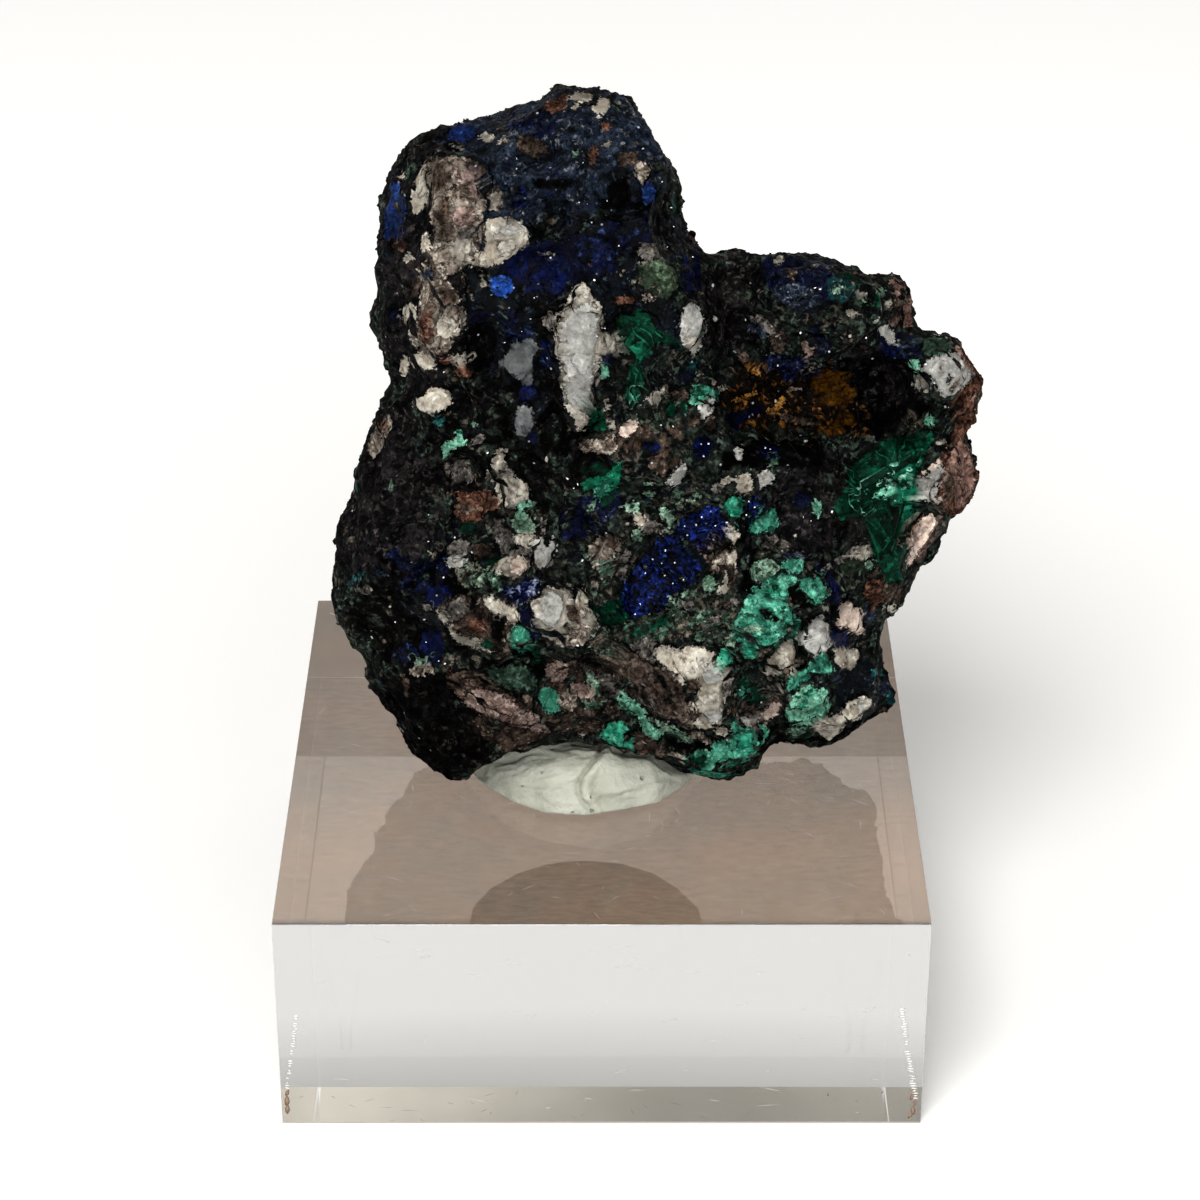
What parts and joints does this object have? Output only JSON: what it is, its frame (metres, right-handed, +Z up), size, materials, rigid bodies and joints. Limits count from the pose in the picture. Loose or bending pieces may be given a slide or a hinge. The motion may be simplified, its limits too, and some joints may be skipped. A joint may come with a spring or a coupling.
{
  "type": "azurite and malachite specimen",
  "caption": "Dark knobbly rock with blue azurite, green malachite, white quartz and an orange iron stain, held by pale putty on a clear acrylic display block.",
  "frame": {"origin": "middle of the acrylic block's underside", "axes": "+Z up, +X to the right of the specimen's show side, which faces -Y"},
  "size_m": [0.0557, 0.0508, 0.0786],
  "materials": {
    "acrylic": "clear cast acrylic with polished faces, sawn edges lightly chipped",
    "putty": "pale grey-green putty with pull folds and small pits",
    "rock": "dark, granular, crumbly matrix with brown grains and orange iron stain",
    "quartz": "white to smoky, sugary broken quartz and calcite",
    "sandstone": "fibrous brown and pinkish sandstone",
    "azurite": "deep blue crystal crust with sparkling faces",
    "malachite": "mint green grape-like crusts and a deep green silky fan"
  },
  "bodies": {
    "root": {"acrylic_block": "acrylic", "mounting_putty": "putty", "matrix_rock": "rock", "malachite_bead": "malachite", "malachite_bead_low": "malachite", "malachite_bead_ledge": "malachite", "malachite_ball": "malachite", "malachite_tuft": "malachite", "malachite_mass": "malachite", "malachite_knob_lower": "malachite", "malachite_foot": "malachite", "malachite_fan": "malachite", "malachite_spray": "malachite", "quartz_blade": "quartz", "quartz_cap": "quartz", "quartz_knob_neck": "quartz", "quartz_knob_shoulder": "quartz", "quartz_knob_left": "quartz", "quartz_tooth": "quartz", "quartz_pebble": "quartz", "quartz_spur": "quartz", "quartz_lump": "quartz", "quartz_bar_lower": "quartz", "smoky_quartz_upper": "quartz", "smoky_quartz_lower": "quartz", "calcite_chip_right": "quartz", "calcite_chip_left": "quartz", "calcite_chip_pink": "quartz", "calcite_vein_right": "quartz", "slab_quartz_rim": "quartz", "sandstone_slab": "sandstone", "sandstone_flake": "sandstone", "sandstone_clast": "sandstone", "azurite_druse": "azurite", "azurite_druse_tail": "azurite", "azurite_pod": "azurite", "azurite_crest": "azurite", "azurite_cave_rim": "azurite", "azurite_rim_right": "azurite"}
  },
  "joints": []
}
